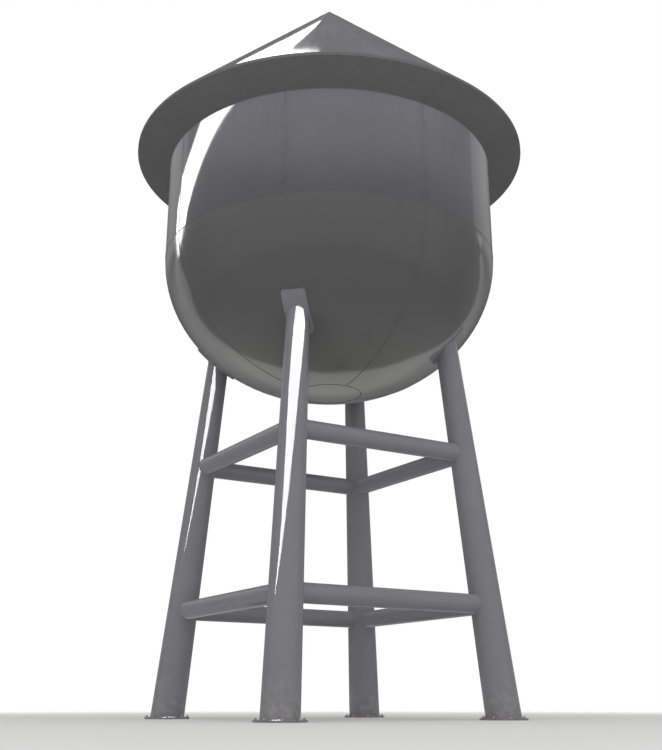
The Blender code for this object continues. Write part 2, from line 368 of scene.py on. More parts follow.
class Enamel:
    """A node material for enamel on steel, built up layer by layer over mottled paint."""

    def __init__(self, name, paint, roughness):
        self.material = bpy.data.materials.new(name)
        self.material.use_nodes = True
        self.tree = self.material.node_tree
        self.shader = self.tree.nodes["Principled BSDF"]
        self.place = put(self.tree, "ShaderNodeTexCoord").outputs["Object"]
        self.normal = None
        broad = self.noise(0.55, 3)
        fine = self.noise(5.0, 5)
        both = reckon(self.tree, "MULTIPLY_ADD", fine, 0.4, reckon(self.tree, "MULTIPLY", broad, 0.6))
        tone = ramp(self.tree, both, 0.30, 0.70)
        self.colour = blend(self.tree, tone, shade(paint, 0.95), shade(paint, 1.05))
        self.roughness = ramp(self.tree, fine, 0.25, 0.75, roughness - 0.04, roughness + 0.05)
        self.shader.inputs["Specular IOR Level"].default_value = 0.0
        self.shader.inputs["Coat Weight"].default_value = 1.0
        self.shader.inputs["Coat IOR"].default_value = 1.3
        self.shader.inputs["Coat Roughness"].default_value = 0.04

    def stretched(self, stretch):
        return put(self.tree, "ShaderNodeMapping", {"Vector": self.place, "Scale": stretch}).outputs[0]

    def noise(self, scale, detail, place=None):
        inputs = {"Vector": place or self.place, "Scale": scale, "Detail": detail, "Roughness": 0.55}
        return put(self.tree, "ShaderNodeTexNoise", inputs).outputs["Fac"]

    def height(self):
        return put(self.tree, "ShaderNodeSeparateXYZ", {"Vector": self.place}).outputs["Z"]

    def facing_up(self):
        """How far the surface faces up, from -1 to 1."""
        normal = put(self.tree, "ShaderNodeNewGeometry").outputs["Normal"]
        return put(self.tree, "ShaderNodeSeparateXYZ", {"Vector": normal}).outputs["Z"]

    def from_seam(self, seams):
        """Distance along the surface to the nearest of some joints that run up and down."""
        parts = put(self.tree, "ShaderNodeSeparateXYZ", {"Vector": self.place}).outputs
        turn = reckon(self.tree, "ARCTAN2", parts["Y"], parts["X"])
        squares = reckon(self.tree, "MULTIPLY", parts["Y"], parts["Y"])
        radius = reckon(self.tree, "SQRT", reckon(self.tree, "MULTIPLY_ADD", parts["X"], parts["X"], squares))
        return reckon(self.tree, "MULTIPLY", reckon(self.tree, "PINGPONG", turn, pi / seams), radius)

    def rings(self):
        """A place whose first two parts turn about the axis and whose third is the distance from it."""
        parts = put(self.tree, "ShaderNodeSeparateXYZ", {"Vector": self.place}).outputs
        flat = put(self.tree, "ShaderNodeCombineXYZ", {"X": parts["X"], "Y": parts["Y"]}).outputs[0]
        away = put(self.tree, "ShaderNodeVectorMath", {0: flat}, operation="LENGTH").outputs["Value"]
        turn = put(self.tree, "ShaderNodeVectorMath", {0: flat}, operation="NORMALIZE").outputs["Vector"]
        turned = put(self.tree, "ShaderNodeSeparateXYZ", {"Vector": turn}).outputs
        inputs = {"X": turned["X"], "Y": turned["Y"], "Z": reckon(self.tree, "MULTIPLY", away, 0.06)}
        return put(self.tree, "ShaderNodeCombineXYZ", inputs).outputs[0]

    def times(self, first, second):
        return reckon(self.tree, "MULTIPLY", first, second)

    def ramp(self, value, start, end, first=0.0, last=1.0):
        return ramp(self.tree, value, start, end, first, last)

    def tint(self, mask, paint):
        self.colour = blend(self.tree, mask, self.colour, (*paint, 1.0))

    def roughen(self, mask, amount):
        self.roughness = reckon(self.tree, "MULTIPLY_ADD", mask, amount, self.roughness)

    def bump(self, height, distance):
        inputs = {"Height": height, "Distance": distance, "Strength": 1.0}
        if self.normal is not None:
            inputs["Normal"] = self.normal
        self.normal = put(self.tree, "ShaderNodeBump", inputs).outputs["Normal"]

    def finish(self):
        """Join the layers to the shader. The clear coat lies level over the orange peel."""
        self.bump(self.noise(70.0, 2), 0.0004)
        self.tree.links.new(self.colour, self.shader.inputs["Base Color"])
        self.tree.links.new(self.roughness, self.shader.inputs["Roughness"])
        self.tree.links.new(self.normal, self.shader.inputs["Normal"])
        return self.material


def soil_seams(enamel, seams, reach):
    """Grime that gathers along the plates' joints, with a few chips down to the primer."""
    distance = enamel.from_seam(seams)
    patchy = enamel.ramp(enamel.noise(6.0, 4), 0.35, 0.7)
    near = enamel.times(enamel.ramp(distance, 0.0, reach, 1.0, 0.0), patchy)
    enamel.tint(enamel.times(near, 0.20), GRIME)
    enamel.roughen(near, 0.10)
    chips = enamel.times(enamel.ramp(distance, 0.01, 0.05, 1.0, 0.0), enamel.ramp(enamel.noise(45.0, 3), 0.66, 0.7))
    enamel.tint(chips, PRIMER)
    enamel.roughen(chips, 0.25)


def run_down(enamel, top, bottom, strength):
    """Faint runs of rain water, strongest at the top height and gone at the bottom one."""
    runs = enamel.ramp(enamel.noise(1.0, 5, enamel.stretched((9.0, 9.0, 0.35))), 0.5, 0.72)
    fade = enamel.ramp(enamel.height(), bottom, top)
    mask = enamel.times(enamel.times(runs, fade), strength)
    enamel.tint(mask, GRIME)
    enamel.roughen(mask, 0.3)


def paint_low_shade(enamel, tank):
    """Painted shade: the enamel's colour darkens from the wall down to the bowl, where the lower tank lies in shade."""
    uneven = reckon(enamel.tree, "MULTIPLY_ADD", enamel.noise(0.8, 4), 0.5, enamel.height())
    enamel.tint(enamel.ramp(uneven, tank.fade_bottom + 0.25, tank.fade_top + 0.25, 1.0, 0.0), tank.painted_shade_colour)


def wall_paint(tank):
    """Painted shade darkens the wall towards the bowl, and painted light makes the enamel paler in a strip right under
    the eave, against the eave's shadow.
    """
    enamel = Enamel("tank wall paint", tank.paint, tank.gloss)
    paint_low_shade(enamel, tank)
    # Painted light: a paler strip of enamel right under the eave.
    enamel.tint(enamel.ramp(enamel.height(), 9.80, 10.40), shade(tank.paint, 1.30)[:3])
    soil_seams(enamel, WALL_PLATES, 0.16)
    run_down(enamel, 10.4, 8.6, 0.10)
    return enamel.finish()


def bowl_paint(tank):
    """Painted shade darkens the bowl from the wall down, and painted light, tinted towards the dust colour, makes its
    underside paler again.
    """
    enamel = Enamel("bowl paint", tank.paint, tank.gloss)
    paint_low_shade(enamel, tank)
    enamel.shader.inputs["Coat Roughness"].default_value = 0.12
    soil_seams(enamel, QUARTERS, 0.16)
    # Painted light: low on the bowl the enamel is made paler, towards the dust colour, to lift the shade there.
    painted_light_low = enamel.ramp(enamel.height(), tank.knuckle - 0.55 * tank.depth, tank.knuckle - 0.95 * tank.depth)
    enamel.tint(enamel.times(painted_light_low, 0.20), DUST)
    run_down(enamel, tank.knuckle, tank.knuckle - 1.6, 0.14)
    return enamel.finish()


def roof_paint(roof):
    """Dust lies on the slope, washed into lines that run down from the cap."""
    enamel = Enamel("roof paint", roof.paint, roof.gloss)
    enamel.shader.inputs["Coat Weight"].default_value = 0.3
    soil_seams(enamel, QUARTERS, 0.20)
    washed = enamel.ramp(enamel.noise(14.0, 5, enamel.rings()), 0.42, 0.68)
    enamel.tint(enamel.times(washed, 0.14), DUST)
    enamel.roughen(washed, 0.06)
    return enamel.finish()


def eave_paint(roof):
    """The fascia's lower edge, where rain drips, is the first place to rust."""
    enamel = Enamel("eave paint", roof.eave_paint, roof.gloss)
    enamel.shader.inputs["Coat Weight"].default_value = 0.1
    soil_seams(enamel, QUARTERS, 0.12)
    at_edge = enamel.ramp(enamel.height(), roof.rim_bottom + 0.012, roof.rim_bottom + 0.002)
    above = enamel.ramp(enamel.height(), roof.rim_bottom - 0.012, roof.rim_bottom - 0.004)
    specks = enamel.ramp(enamel.noise(16.0, 5), 0.58, 0.66)
    rusty = enamel.times(enamel.times(at_edge, above), specks)
    enamel.tint(enamel.times(rusty, 0.7), RUST)
    enamel.roughen(rusty, 0.3)
    return enamel.finish()


def leg_paint(tower):
    """Mud splashes dull the foot of each leg."""
    enamel = Enamel("leg paint", tower.paint, tower.gloss)
    run_down(enamel, 6.6, 3.0, 0.14)
    splash = enamel.times(enamel.ramp(enamel.height(), 0.05, 0.9, 1.0, 0.0), enamel.ramp(enamel.noise(9.0, 6), 0.4, 0.65))
    enamel.tint(enamel.times(splash, 0.45), DUST)
    enamel.roughen(splash, 0.25)
    return enamel.finish()


def strut_paint(tower):
    """Dust settles on the upper side of the level struts."""
    enamel = Enamel("strut paint", tower.paint, tower.gloss)
    upper = enamel.times(enamel.ramp(enamel.facing_up(), 0.45, 0.95), enamel.ramp(enamel.noise(4.0, 5), 0.3, 0.6))
    enamel.tint(enamel.times(upper, 0.40), DUST)
    enamel.roughen(upper, 0.25)
    return enamel.finish()


def saddle_paint(tower):
    enamel = Enamel("saddle paint", tower.paint, tower.gloss)
    worn = enamel.ramp(enamel.noise(22.0, 5), 0.62, 0.68)
    enamel.tint(enamel.times(worn, 0.35), PRIMER)
    enamel.roughen(worn, 0.2)
    return enamel.finish()


def foot_paint(tower):
    """Chipped and rusting at the edge, where mowers and boots knock it."""
    enamel = Enamel("foot plate paint", tower.paint, tower.gloss)
    chips = enamel.ramp(enamel.noise(18.0, 6), 0.56, 0.62)
    enamel.tint(enamel.times(chips, 0.55), RUST)
    enamel.roughen(chips, 0.35)
    dusty = enamel.times(enamel.ramp(enamel.facing_up(), 0.5, 0.95), enamel.ramp(enamel.noise(7.0, 5), 0.35, 0.65))
    enamel.tint(enamel.times(dusty, 0.45), DUST)
    enamel.roughen(dusty, 0.25)
    return enamel.finish()


def weld_paint(name, paint, roughness, tank=None):
    """Enamel over the ripples of a weld bead, thin and dull on their crests."""
    enamel = Enamel(name, paint, roughness)
    # On the tank the weld beads carry the same painted shade as the plates around them.
    if tank:
        paint_low_shade(enamel, tank)
    ripples = enamel.noise(60.0, 2)
    crests = enamel.ramp(ripples, 0.6, 0.7)
    enamel.tint(enamel.times(crests, 0.12), PRIMER)
    enamel.roughen(crests, 0.2)
    enamel.bump(ripples, 0.003)
    return enamel.finish()


def zinc():
    """Galvanised bolts and nuts, with a spangle of dull and bright patches."""
    material = bpy.data.materials.new("galvanised steel")
    material.use_nodes = True
    tree = material.node_tree
    shader = tree.nodes["Principled BSDF"]
    place = put(tree, "ShaderNodeTexCoord").outputs["Object"]
    cells = put(tree, "ShaderNodeTexVoronoi", {"Vector": place, "Scale": 160.0}).outputs["Color"]
    spangle = put(tree, "ShaderNodeSeparateColor", {"Color": cells}).outputs[0]
    stain = ramp(tree, put(tree, "ShaderNodeTexNoise", {"Vector": place, "Scale": 60.0}).outputs["Fac"], 0.5, 0.7)
    bright = blend(tree, spangle, (0.30, 0.31, 0.32, 1.0), (0.48, 0.49, 0.50, 1.0))
    tree.links.new(blend(tree, stain, bright, (*RUST, 1.0)), shader.inputs["Base Color"])
    tree.links.new(ramp(tree, spangle, 0.0, 1.0, 0.38, 0.62), shader.inputs["Roughness"])
    shader.inputs["Metallic"].default_value = 0.9
    height = put(tree, "ShaderNodeTexNoise", {"Vector": place, "Scale": 300.0}).outputs["Fac"]
    bumped = put(tree, "ShaderNodeBump", {"Height": height, "Distance": 0.0006})
    tree.links.new(bumped.outputs["Normal"], shader.inputs["Normal"])
    return material


def piece(name, bm, material, nodes=(), edge=0.0):
    """Turn a bmesh into a piece that rides on the tower and stands for some of its CAD nodes."""
    bmesh.ops.recalc_face_normals(bm, faces=bm.faces)
    mesh = bpy.data.meshes.new(name)
    bm.to_mesh(mesh)
    bm.free()
    mesh.shade_smooth()
    mesh.set_sharp_from_angle(angle=radians(35))
    mesh.materials.append(material)
    item = bpy.data.objects.new(name, mesh)
    bpy.context.scene.collection.objects.link(item)
    if edge:
        bevel = item.modifiers.new("rounded edges", "BEVEL")
        bevel.width = edge
        bevel.segments = 2
        bevel.limit_method = "ANGLE"
        bevel.angle_limit = radians(40)
    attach(item, "root")
    if nodes:
        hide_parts(*nodes)
    return item


def swept(outline, start, end, steps):
    """A closed plate: a (radius, height) outline swept about the axis, a groove short at each end."""
    bm = bmesh.new()
    columns = []
    for step in range(steps + 1):
        column = []
        for radius, height in outline:
            inset = GROOVE / radius
            turn = start + inset + (end - start - 2 * inset) * step / steps
            column.append(bm.verts.new((radius * cos(turn), radius * sin(turn), height)))
        columns.append(column)
    for left, right in zip(columns, columns[1:]):
        join_rings(bm, left, right)
    bm.faces.new(columns[0])
    bm.faces.new(columns[-1])
    return bm


def join_rings(bm, first, second):
    """Faces between two rings of corners. A ring of one corner is a point."""
    count = max(len(first), len(second))
    for index in range(count):
        after = (index + 1) % count
        corners = [
            first[index % len(first)],
            first[after % len(first)],
            second[after % len(second)],
            second[index % len(second)],
        ]
        bm.faces.new(list(dict.fromkeys(corners)))


def turned(profile, steps, bm=None, place=Matrix.Identity(4)):
    """Turn a (radius, height) profile about an axis. A radius of 0 is a point on the axis."""
    bm = bm or bmesh.new()
    rings = []
    for radius, height in profile:
        count = steps if radius else 1
        ring = []
        for step in range(count):
            turn = tau * step / count
            ring.append(bm.verts.new(place @ Vector((radius * cos(turn), radius * sin(turn), height))))
        rings.append(ring)
    for first, second in zip(rings, rings[1:]):
        join_rings(bm, first, second)
    return bm


def stops(start, end, steps):
    return [start + (end - start) * step / steps for step in range(steps + 1)]


def lay_weld(bm, path, width, height, closed):
    """Lay an oval bead along (point, normal) pairs on a surface, swelling a little as hand welds do."""
    rings = []
    last = len(path) - 1
    for index, (point, normal) in enumerate(path):
        before = path[index - 1 if index or closed else 0][0]
        after = path[(index + 1) % len(path) if index < last or closed else last][0]
        along = (after - before).normalized()
        side = along.cross(normal).normalized()
        swell = 1 + 0.15 * noise.noise(point * 9)
        ring = []
        for corner in range(WELD_SIDES):
            turn = tau * corner / WELD_SIDES
            out = side * (cos(turn) * width / 2) + side.cross(along) * (sin(turn) * height)
            ring.append(bm.verts.new(point + out * swell))
        rings.append(ring)
    for first, second in zip(rings, rings[1:]):
        join_rings(bm, first, second)
    if closed:
        join_rings(bm, rings[-1], rings[0])
    else:
        bm.faces.new(rings[0])
        bm.faces.new(rings[-1])


def around(radius, height, slope=0.0):
    """A level ring of (point, normal) pairs; the slope tips the normals up or down."""
    count = max(TURN_STEPS, int(tau * radius / WELD_STEP))
    path = []
    for step in range(count):
        turn = tau * step / count
        normal = Vector((cos(turn), sin(turn), slope)).normalized()
        path.append((Vector((radius * cos(turn), radius * sin(turn), height)), normal))
    return path


def bowl_height(tank, radius, inset=0.0):
    return tank.knuckle - (tank.depth - inset) * sqrt(max(0.0, 1 - (radius / (tank.radius - inset)) ** 2))


def on_bowl(tank, place, offset=0.0):
    """The point off the bowl's face below a level place, with the face's normal."""
    radius = place.length
    drop = tank.knuckle - bowl_height(tank, radius)
    normal = Vector((place.x / tank.radius ** 2, place.y / tank.radius ** 2, -drop / tank.depth ** 2))
    normal.normalize()
    return Vector((place.x, place.y, tank.knuckle - drop)) + normal * offset, normal


def roof_height(roof, radius):
    return roof.apex - (roof.apex - roof.rim_top) / roof.rim_radius * radius


def roof_underside(roof, radius, plate):
    slope = (roof.apex - roof.rim_top) / roof.rim_radius
    return roof_height(roof, radius) - plate * sqrt(1 + slope ** 2)


def leg_direction(corner):
    """The level direction from the axis to a foot."""
    return middle("foot_plate_" + corner).xy.normalized()


def leg_centre(tower, direction, height):
    away = direction * (tower.foot_radius - tower.lean * height)
    return Vector((away.x, away.y, height))


def leg_radius(tower, height):
    taper = (tower.foot_diameter - tower.head_diameter) / tower.head_height
    return (tower.foot_diameter - taper * height) / 2


def below_bowl(tank, point):
    """How far a point near the bowl lies outside its face."""
    drop = tank.knuckle - point.z
    level = point.xy.length
    excess = (level / tank.radius) ** 2 + (drop / tank.depth) ** 2 - 1
    return excess / (2 * hypot(level / tank.radius ** 2, drop / tank.depth ** 2))


def leg_line(tank, tower, direction, side):
    """The lowest and highest point of one of the straight lines along a leg's skin."""

    def skin(height):
        out = Matrix.Rotation(tau * side / LEG_SIDES, 2) @ direction * leg_radius(tower, height)
        return leg_centre(tower, direction, height) + Vector((out.x, out.y, 0))

    room = tower.saddle_thickness + 3 * GAP
    lower, upper = tower.upper_ring, tank.knuckle
    for _ in range(HALVINGS):
        between = (lower + upper) / 2
        if below_bowl(tank, skin(between)) > room:
            lower = between
        else:
            upper = between
    return skin(tower.plate_thickness + GAP), skin(lower)


def strut_end(tower, direction, run, turn, height):
    """Where a line along a level strut's skin meets a leg, measured from the leg's centre."""
    across = Vector((-run.y, run.x))
    radius = tower.strut_diameter / 2
    aside = radius * cos(turn)
    up = radius * sin(turn)
    shift = direction * (-tower.lean * up)
    reach = leg_radius(tower, height + up) + GAP
    along = shift.dot(run) + sqrt(reach ** 2 - (aside - shift.dot(across)) ** 2)
    level = run * along + across * aside
    centre = leg_centre(tower, direction, height)
    return centre + Vector((level.x, level.y, up))


def saddle_outline(tower):
    """Points round a saddle's edge, as (along, across) with round corners."""
    inner, outer = tower.saddle_inner, tower.saddle_outer
    half = tower.saddle_width / 2
    corner = tower.saddle_corner
    centres = [
        (outer - corner, half - corner, 0),
        (inner + corner, half - corner, 1),
        (inner + corner, corner - half, 2),
        (outer - corner, corner - half, 3),
    ]
    points = []
    for along, across, quarter in centres:
        arc = []
        for step in range(SADDLE_CORNER_STEPS + 1):
            turn = (quarter + step / SADDLE_CORNER_STEPS) * pi / 2
            arc.append(Vector((along + corner * cos(turn), across + corner * sin(turn))))
        if points:
            points += [points[-1].lerp(arc[0], step / SADDLE_SIDE_STEPS) for step in range(1, SADDLE_SIDE_STEPS)]
        points += arc
    points += [points[-1].lerp(points[0], step / SADDLE_SIDE_STEPS) for step in range(1, SADDLE_SIDE_STEPS)]
    return points


class TankWall(Operator):
    """Make the wall's eight rolled plates and the welds that join them"""

    bl_idname = "water_tower.tank_wall"
    bl_label = "Tank Wall"

    def execute(self, context):
        tank = context.scene.water_tower.tank
        roof = context.scene.water_tower.roof
        inside = tank.radius - tank.plate
        heights = stops(tank.knuckle, roof.soffit, WALL_COURSES)
        outline = [(tank.radius, height) for height in heights + [roof_underside(roof, tank.radius, tank.plate) - GAP]]
        outline.append((inside, roof_underside(roof, inside, tank.plate) - GAP))
        outline += [(inside, height) for height in reversed(heights)]
        paint = wall_paint(tank)
        span = tau / WALL_PLATES
        for index in range(WALL_PLATES):
            node = f"tank_wall_{index + 1}"
            plate = swept(outline, span * index, span * (index + 1), WALL_STEPS)
            piece(f"wall_plate_{index + 1}", plate, paint, [node], edge=PLATE_EDGE)
        welds = bmesh.new()
        upright = stops(tank.knuckle, roof.soffit, int((roof.soffit - tank.knuckle) / WELD_STEP))
        for index in range(WALL_PLATES):
            out = Vector((cos(span * index), sin(span * index), 0))
            path = [(out * tank.radius + Vector((0, 0, height)), out) for height in upright]
            lay_weld(welds, path, tank.bead, SEAM_HEIGHT, closed=False)
        lay_weld(welds, around(tank.radius, tank.knuckle), tank.bead, SEAM_HEIGHT, closed=True)
        piece("wall_welds", welds, weld_paint("wall weld paint", tank.paint, tank.gloss, tank))
        return {"FINISHED"}


class Bowl(Operator):
    """Make the dished bottom: four pressed plates, the crown plate and their welds"""

    bl_idname = "water_tower.bowl"
    bl_label = "Tank Bowl"

    def execute(self, context):
        tank = context.scene.water_tower.tank
        paint = bowl_paint(tank)
        outline = self.section(tank, 0.0) + self.section(tank, tank.plate)[::-1]
        span = tau / QUARTERS
        for index in range(QUARTERS):
            node = f"bowl_panel_{index + 1}"
            plate = swept(outline, span * index, span * (index + 1), QUARTER_STEPS)
            piece(f"bowl_plate_{index + 1}", plate, paint, [node], edge=PLATE_EDGE)
        edge = tank.crown - GROOVE
        radii = stops(0.0, edge, 6)
        profile = [(radius, bowl_height(tank, radius)) for radius in radii]
        profile += [(radius, bowl_height(tank, radius, tank.plate)) for radius in reversed(radii)]
        crown = turned(profile, TURN_STEPS)
        piece("crown_plate", crown, paint, ["bowl_crown"], edge=PLATE_EDGE)
        welds = bmesh.new()
        for index in range(QUARTERS):
            out = Vector((cos(span * index), sin(span * index)))
            path = []
            for radius, _ in self.section(tank, 0.0)[1:]:
                path.append(on_bowl(tank, out * radius))
            lay_weld(welds, path, tank.bead, SEAM_HEIGHT, closed=False)
        ring = around(tank.crown, 0.0)
        lay_weld(welds, [on_bowl(tank, point.xy) for point, _ in ring], tank.bead, SEAM_HEIGHT, closed=True)
        piece("bowl_welds", welds, weld_paint("bowl weld paint", tank.paint, tank.gloss, tank))
        return {"FINISHED"}

    def section(self, tank, inset):
        """Points down the bowl from the knuckle to the crown plate, evenly spaced by angle."""
        radius = tank.radius - inset
        points = []
        for step in range(BOWL_COURSES + 1):
            turn = pi / 2 * step / BOWL_COURSES
            if radius * cos(turn) > tank.crown:
                points.append((radius * cos(turn), bowl_height(tank, radius * cos(turn), inset)))
        points.append((tank.crown, bowl_height(tank, tank.crown, inset)))
        return points


class Roof(Operator):
    """Make the pointed roof: four sloping plates, the cap and their welds"""

    bl_idname = "water_tower.roof"
    bl_label = "Roof"

    def execute(self, context):
        roof = context.scene.water_tower.roof
        tank = context.scene.water_tower.tank
        paint = roof_paint(roof)
        radii = stops(roof.rim_radius, roof.cap, ROOF_COURSES)
        outline = [(radius, roof_height(roof, radius)) for radius in radii]
        outline += [(radius, roof_underside(roof, radius, tank.plate)) for radius in reversed(radii)]
        span = tau / QUARTERS
        for index in range(QUARTERS):
            node = f"roof_panel_{index + 1}"
            plate = swept(outline, span * index, span * (index + 1), QUARTER_STEPS)
            piece(f"roof_plate_{index + 1}", plate, paint, [node], edge=PLATE_EDGE)
        edge = roof.cap - GROOVE
        radii = stops(0.0, edge, 5)
        profile = [(radius, roof_height(roof, radius)) for radius in radii]
        profile += [(radius, roof_underside(roof, radius, tank.plate)) for radius in reversed(radii)]
        piece("cap_plate", turned(profile, TURN_STEPS), paint, ["roof_cap"], edge=PLATE_EDGE)
        welds = bmesh.new()
        slope = (roof.apex - roof.rim_top) / roof.rim_radius
        count = int((roof.rim_radius - roof.cap) / WELD_STEP)
        for index in range(QUARTERS):
            out = Vector((cos(span * index), sin(span * index), 0))
            normal = (out * slope + Vector((0, 0, 1))).normalized()
            path = []
            for radius in stops(roof.cap, roof.rim_radius - 0.02, count):
                path.append((out * radius + Vector((0, 0, roof_height(roof, radius))), normal))
            lay_weld(welds, path, tank.bead, SEAM_HEIGHT, closed=False)
        ring = around(roof.cap, roof_height(roof, roof.cap), 1 / slope)
        lay_weld(welds, ring, tank.bead, SEAM_HEIGHT, closed=True)
        piece("roof_welds", welds, weld_paint("roof weld paint", roof.paint, roof.gloss))
        return {"FINISHED"}


class Eave(Operator):
    """Make the four soffit plates with their fascia, and the welds that join them to the wall"""

    bl_idname = "water_tower.eave"
    bl_label = "Eave"

    def execute(self, context):
        roof = context.scene.water_tower.roof
        tank = context.scene.water_tower.tank
        fascia = roof.rim_radius - tank.plate
        wall = tank.radius + GAP
        slope = (roof.rim_bottom - roof.soffit) / (roof.rim_radius - wall)
        top = roof.soffit + tank.plate * sqrt(1 + slope ** 2)
        outline = [
            (roof.rim_radius, roof.rim_bottom),
            (roof.rim_radius, roof_underside(roof, roof.rim_radius, tank.plate) - GAP),
            (fascia, roof_underside(roof, fascia, tank.plate) - GAP),
            (fascia, top + slope * (fascia - wall)),
            (wall, top),
            (wall, roof.soffit),
        ]
        paint = eave_paint(roof)
        span = tau / QUARTERS
        for index in range(QUARTERS):
            node = f"eave_{index + 1}"
            plate = swept(outline, span * index, span * (index + 1), QUARTER_STEPS)
            piece(f"eave_plate_{index + 1}", plate, paint, [node], edge=FASCIA_EDGE)
        welds = bmesh.new()
        for index in range(QUARTERS):
            out = Vector((cos(span * index), sin(span * index), 0))
            normal = (out * slope - Vector((0, 0, 1))).normalized()
            path = []
            for radius in stops(wall, roof.rim_radius - 0.01, 20):
                path.append((out * radius + Vector((0, 0, roof.soffit + slope * (radius - wall))), normal))
            lay_weld(welds, path, tank.bead, SEAM_HEIGHT, closed=False)
        lay_weld(welds, around(tank.radius, roof.soffit, -1.0), tank.bead, EAVE_WELD_HEIGHT, closed=True)
        piece("eave_welds", welds, weld_paint("eave weld paint", roof.eave_paint, roof.gloss))
        return {"FINISHED"}


class Legs(Operator):
    """Make the four tapered legs, cut to their saddles, and the welds at their heads and feet"""

    bl_idname = "water_tower.legs"
    bl_label = "Legs"

    def execute(self, context):
        tank = context.scene.water_tower.tank
        tower = context.scene.water_tower.frame
        paint = leg_paint(tower)
        beads = weld_paint("leg weld paint", tower.paint, tower.gloss)
        for corner in CORNERS:
            direction = leg_direction(corner)
            lines = [leg_line(tank, tower, direction, side) for side in range(LEG_SIDES)]
            leg = bmesh.new()
            rings = []
            for share in stops(0.0, 1.0, LEG_COURSES):
                rings.append([leg.verts.new(foot.lerp(head, share)) for foot, head in lines])
            for first, second in zip(rings, rings[1:]):
                join_rings(leg, first, second)
            for ring in (rings[0], rings[-1]):
                centre = leg.verts.new(sum((vert.co for vert in ring), Vector()) / LEG_SIDES)
                join_rings(leg, [centre], ring)
            piece(f"{corner}_leg", leg, paint, ["leg_" + corner])
            welds = bmesh.new()
            head_centre = sum((head for _, head in lines), Vector()) / LEG_SIDES
            foot_centre = leg_centre(tower, direction, tower.plate_thickness)
            head_path = [(head, (head - head_centre).normalized()) for _, head in lines]
            foot_path = [(foot, (foot - foot_centre).normalized()) for foot, _ in lines]
            lay_weld(welds, head_path, *LEG_WELD, closed=True)
            lay_weld(welds, foot_path, *LEG_WELD, closed=True)
            piece(f"{corner}_leg_welds", welds, beads)
        return {"FINISHED"}


class Saddles(Operator):
    """Make the four curved saddles that carry the bowl, and the weld round each"""

    bl_idname = "water_tower.saddles"
    bl_label = "Saddles"

    def execute(self, context):
        tank = context.scene.water_tower.tank
        tower = context.scene.water_tower.frame
        paint = saddle_paint(tower)
        beads = weld_paint("saddle weld paint", tower.paint, tower.gloss)
        near = GAP
        far = near + tower.saddle_thickness
        edge = 0.004
        centre = Vector(((tower.saddle_inner + tower.saddle_outer) / 2, 0.0))
        outline = saddle_outline(tower)
        layers = [(0.0, near), (0.5, near), (1.0, near), (1.0, far - edge), (0.985, far), (0.7, far), (0.35, far), (0.0, far)]
        for corner in CORNERS:
            direction = leg_direction(corner)
            turn = Matrix.Rotation(direction.angle_signed(Vector((1, 0))), 4, "Z")
            saddle = bmesh.new()
            rings = []
            for share, offset in layers:
                places = [centre.lerp(point, share) for point in outline] if share else [centre]
                rings.append([saddle.verts.new(turn @ on_bowl(tank, place, offset)[0]) for place in places])
            for first, second in zip(rings, rings[1:]):
                join_rings(saddle, first, second)
            piece(f"{corner}_saddle", saddle, paint, ["saddle_" + corner])
            welds = bmesh.new()
            path = []
            for point in outline:
                place, normal = on_bowl(tank, point, near)
                path.append((turn @ place, turn @ normal))
            lay_weld(welds, path, *SADDLE_WELD, closed=True)
            piece(f"{corner}_saddle_weld", welds, beads)
        return {"FINISHED"}


class Struts(Operator):
    """Make the two rings of level struts, their ends shaped to the legs and welded round"""

    bl_idname = "water_tower.struts"
    bl_label = "Struts"

    def execute(self, context):
        tower = context.scene.water_tower.frame
        paint = strut_paint(tower)
        welds = bmesh.new()
        for ring, height in (("lower", tower.lower_ring), ("upper", tower.upper_ring)):
            for side, corners in SIDES.items():
                self.make_strut(tower, f"{ring}_strut_{side}", height, corners, paint, welds)
        beads = weld_paint("strut weld paint", tower.paint, tower.gloss)
        piece("strut_welds", welds, beads)
        return {"FINISHED"}

    def make_strut(self, tower, node, height, corners, paint, welds):
        start, end = (leg_direction(corner) for corner in corners)
        run = (leg_centre(tower, end, height) - leg_centre(tower, start, height)).xy.normalized()
        near = []
        far = []
        for step in range(STRUT_SIDES):
            turn = tau * step / STRUT_SIDES
            near.append(strut_end(tower, start, run, turn, height))
            far.append(strut_end(tower, end, -run, pi - turn, height))
        strut = bmesh.new()
        rings = []
        for share in stops(0.0, 1.0, STRUT_COURSES):
            rings.append([strut.verts.new(one.lerp(other, share)) for one, other in zip(near, far)])
        for first, second in zip(rings, rings[1:]):
            join_rings(strut, first, second)
        for ring in (rings[0], rings[-1]):
            centre = strut.verts.new(sum((vert.co for vert in ring), Vector()) / STRUT_SIDES)
            join_rings(strut, [centre], ring)
        piece("ring_" + node, strut, paint, [node])
        for loop, corner in ((near, start), (far, end)):
            centre = leg_centre(tower, corner, height)
            path = [(point, (point - centre).normalized()) for point in loop]
            lay_weld(welds, path, *STRUT_WELD, closed=True)


